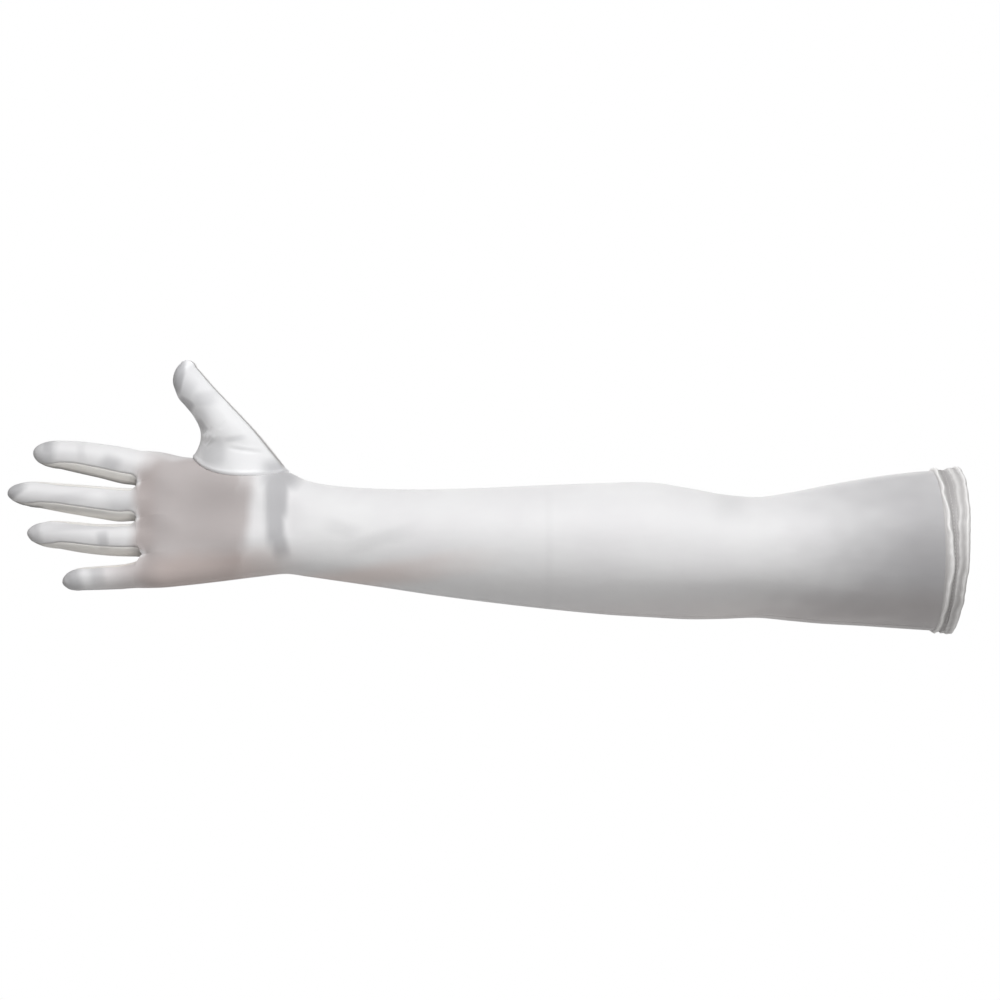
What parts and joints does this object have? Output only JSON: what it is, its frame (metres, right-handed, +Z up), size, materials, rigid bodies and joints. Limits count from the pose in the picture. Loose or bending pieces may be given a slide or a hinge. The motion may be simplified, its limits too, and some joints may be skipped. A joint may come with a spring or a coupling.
{
  "type": "long satin glove",
  "caption": "Opera-length dress glove of smooth stretch satin in its worn shape, open at the upper arm, with strips between the fingers, a set-in thumb and a turned elastic hem.",
  "frame": {"origin": "centre of the arm opening, at the hem's edge", "axes": "+X out of the arm opening along the arm, the fingers towards -X; the palm faces -Y; +Z up, towards the thumb side"},
  "size_m": [0.5669, 0.099, 0.1636],
  "materials": {
    "satin_panel": "satin",
    "satin_strip": "satin",
    "satin_hem": "satin"
  },
  "bodies": {
    "root": {"palm_panel": "satin_panel", "back_panel": "satin_panel", "fourchette_index_middle": "satin_strip", "fourchette_middle_ring": "satin_strip", "fourchette_ring_little": "satin_strip", "thumb_piece": "satin_panel", "hem_band": "satin_hem"}
  },
  "joints": []
}
